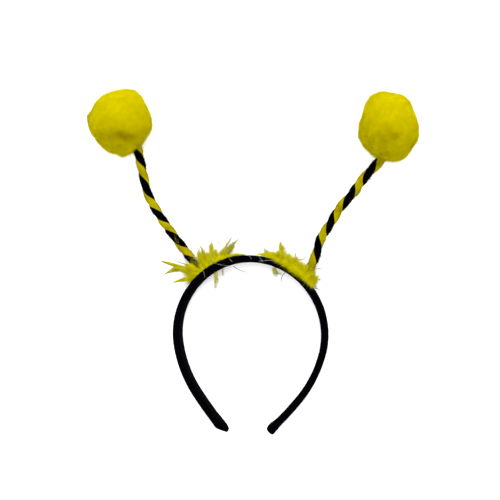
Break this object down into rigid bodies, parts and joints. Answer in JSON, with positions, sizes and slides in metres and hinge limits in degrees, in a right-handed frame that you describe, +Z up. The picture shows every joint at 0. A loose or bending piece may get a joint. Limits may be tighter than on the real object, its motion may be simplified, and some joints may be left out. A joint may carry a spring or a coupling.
{
  "type": "bee antenna headband",
  "caption": "Costume headband with twisted yellow and black antenna stems, fluffy yellow pompoms and yellow feather trim at the stems' feet.",
  "frame": {"origin": "on the surface it lies on, under the middle of the whole headband's bounding box", "axes": "+X to the picture's right across the band, +Y from the band's tips towards its crown and the pompoms, +Z up from the surface it lies on, which is along the band's width"},
  "size_m": [0.254, 0.2636, 0.0494],
  "materials": {
    "band_fabric": "matt black cloth wrapped over a stiff core",
    "yellow_chenille": "short soft yellow pile",
    "black_chenille": "short soft black pile",
    "pompom_pile": "dense soft yellow plush",
    "feather": "fine yellow down with a few silver threads"
  },
  "bodies": {
    "root": {"headband": "band_fabric", "stem_left_yellow": "yellow_chenille", "stem_left_black": "black_chenille", "stem_right_yellow": "yellow_chenille", "stem_right_black": "black_chenille", "pompom_left": "pompom_pile", "pompom_right": "pompom_pile", "feather_trim_left": "feather", "feather_trim_right": "feather"}
  },
  "joints": []
}
